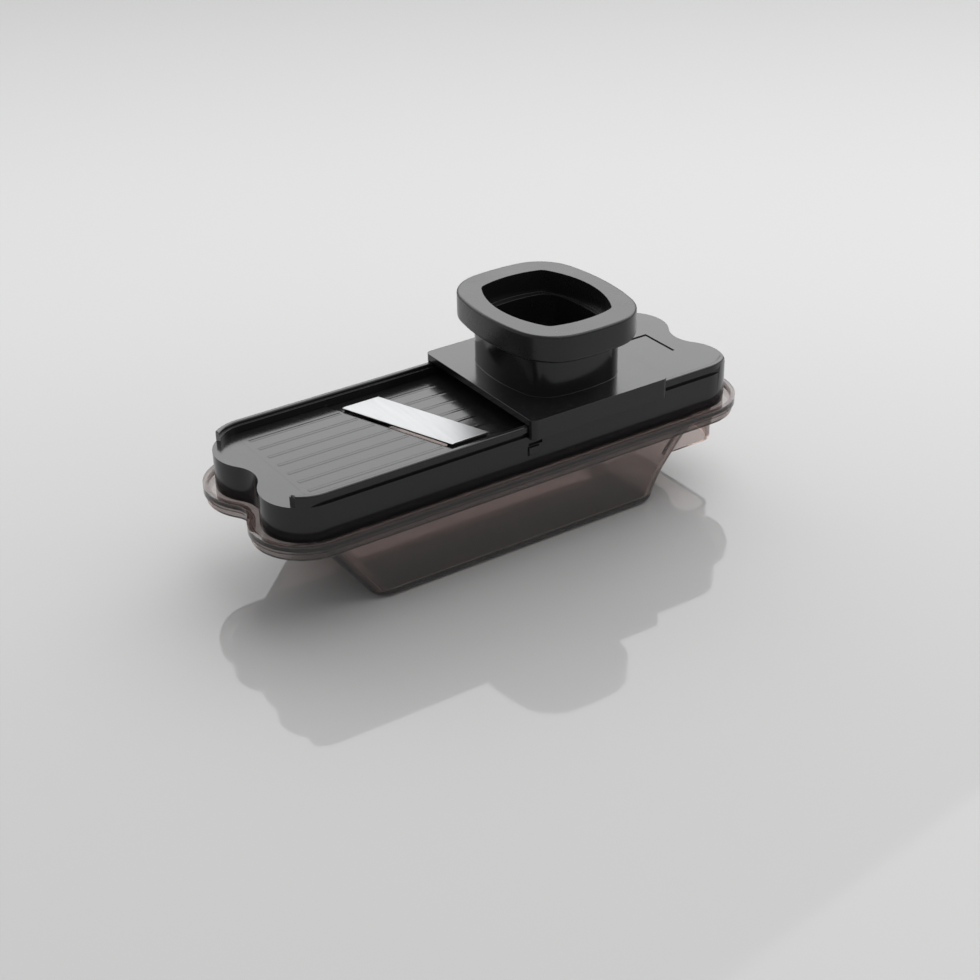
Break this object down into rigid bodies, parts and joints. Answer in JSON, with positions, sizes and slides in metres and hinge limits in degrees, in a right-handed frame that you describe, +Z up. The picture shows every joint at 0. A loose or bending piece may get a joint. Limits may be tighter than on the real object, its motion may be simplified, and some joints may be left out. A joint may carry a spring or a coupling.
{
  "type": "mandoline slicer",
  "caption": "Hand slicer for nuts: a carriage with a pusher slides over a slanted blade, and the slices fall into a clear container underneath.",
  "frame": {"origin": "on the surface the container stands on, under the middle of the rim", "axes": "+X along the rails from the ramp end to the parking end, +Y to the back, +Z up"},
  "size_m": [0.25, 0.0906, 0.0991],
  "materials": {
    "smoky_clear": "clear smoky moulded plastic",
    "black_gloss": "polished black moulded plastic",
    "black_satin": "satin black moulded plastic",
    "blade_steel": "bright ground stainless steel",
    "zinc_screw": "bright zinc plate",
    "spring_steel": "drawn spring wire"
  },
  "bodies": {
    "container": {"container": "smoky_clear"},
    "slicer_body": {"body_frame": "black_gloss", "ramp_plate": "black_gloss", "landing_plate": "black_gloss", "blade": "blade_steel", "ramp_screw_1": "zinc_screw", "ramp_screw_2": "zinc_screw", "ramp_screw_3": "zinc_screw", "ramp_screw_4": "zinc_screw", "landing_screw_1": "zinc_screw", "landing_screw_2": "zinc_screw", "landing_screw_3": "zinc_screw", "landing_screw_4": "zinc_screw", "catch_spring_front": "spring_steel", "catch_spring_back": "spring_steel"},
    "carriage": {"carriage": "black_gloss"},
    "plunger": {"plunger_body": "black_satin", "pusher_plate": "black_satin", "pusher_screw_1": "zinc_screw", "pusher_screw_2": "zinc_screw", "pusher_screw_3": "zinc_screw", "pusher_screw_4": "zinc_screw"},
    "catch_front": {"catch_button_front": "black_satin"},
    "catch_back": {"catch_button_back": "black_satin"}
  },
  "joints": [
    {"name": "body_lift", "type": "slide", "parent": "container", "child": "slicer_body", "axis": [0, 0, 1], "range_m": [0, 0.05]},
    {"name": "carriage_slide", "type": "slide", "parent": "slicer_body", "child": "carriage", "axis": [1, 0, 0], "range_m": [-0.106, 0.032]},
    {"name": "plunger_lift", "type": "slide", "parent": "carriage", "child": "plunger", "axis": [0, 0, 1], "range_m": [0, 0.045]},
    {"name": "catch_front_press", "type": "slide", "parent": "slicer_body", "child": "catch_front", "axis": [0, 1, 0], "range_m": [0, 0.002], "stiffness_N_per_m": 400, "springref_m": -0.0005, "deforming": ["catch_spring_front"]},
    {"name": "catch_back_press", "type": "slide", "parent": "slicer_body", "child": "catch_back", "axis": [0, -1, 0], "range_m": [0, 0.002], "stiffness_N_per_m": 400, "springref_m": -0.0005, "deforming": ["catch_spring_back"]}
  ]
}
